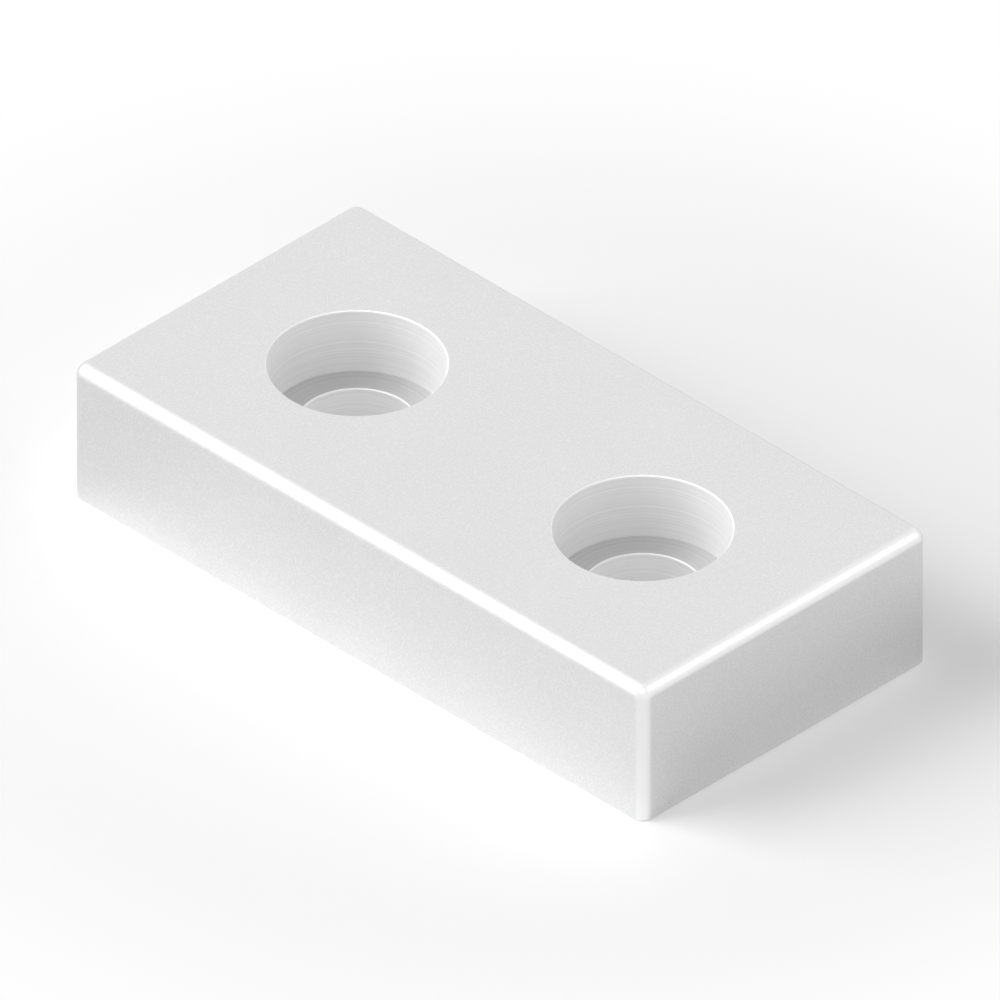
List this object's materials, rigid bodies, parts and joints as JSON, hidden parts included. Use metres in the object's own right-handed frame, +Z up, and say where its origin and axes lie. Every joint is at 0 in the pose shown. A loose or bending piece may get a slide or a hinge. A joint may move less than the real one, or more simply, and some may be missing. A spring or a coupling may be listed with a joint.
{
  "type": "mounting plate",
  "caption": "Thick rectangular plate with rounded corners and top edges, and counterbored screw holes in a row along its length.",
  "frame": {"origin": "centre of the bottom face, which lies on what the plate is screwed to", "axes": "+X along the length and the row of holes, +Y across the width, +Z up out of the counterbored face"},
  "size_m": [0.06, 0.03, 0.012],
  "materials": {
    "anodised_aluminium": "bead-blasted and clear anodised, satin light grey"
  },
  "bodies": {
    "root": {"mounting_plate": "anodised_aluminium"}
  },
  "joints": []
}
